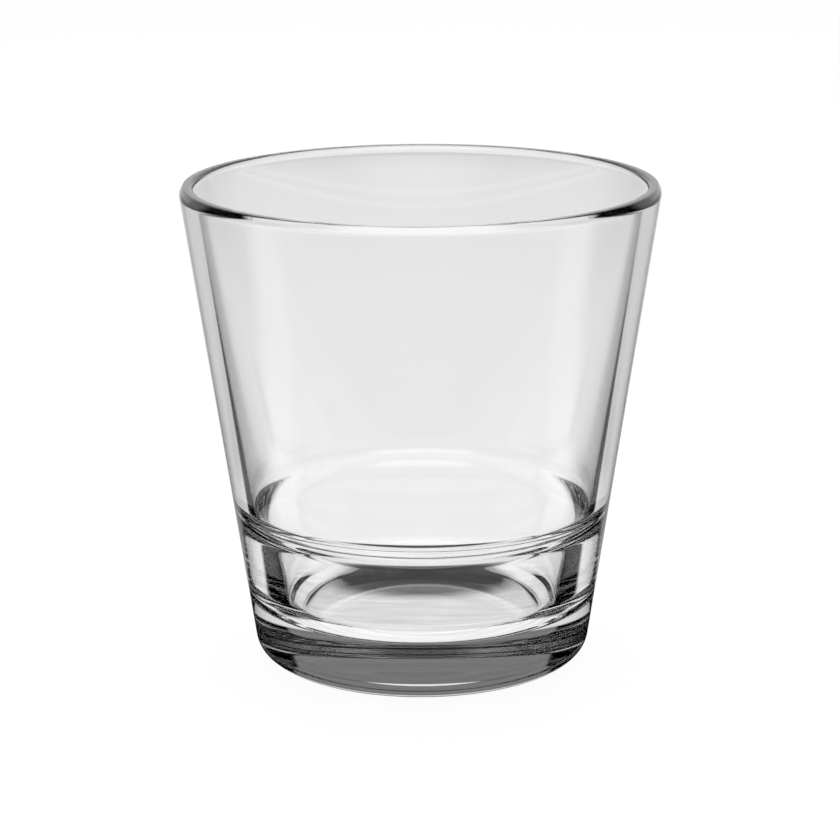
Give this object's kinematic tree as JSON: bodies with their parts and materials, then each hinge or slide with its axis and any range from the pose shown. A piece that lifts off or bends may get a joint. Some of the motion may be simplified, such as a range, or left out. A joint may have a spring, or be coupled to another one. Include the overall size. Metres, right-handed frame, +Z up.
{
  "type": "stacking tumbler",
  "caption": "Low flared drinking tumbler in clear pressed glass, with a rounded rim, a thick base and a sloping inner ledge that carries the heel of the next tumbler in a stack.",
  "frame": {"origin": "centre of the foot ring, in the plane where the tumbler meets the table", "axes": "+Z up the axis of revolution, from the foot to the rim; X and Y are alike, because the tumbler is round"},
  "size_m": [0.0894, 0.0894, 0.091],
  "materials": {
    "clear_glass": "clear, colourless and fire polished"
  },
  "bodies": {
    "root": {"tumbler_glass": "clear_glass"}
  },
  "joints": []
}
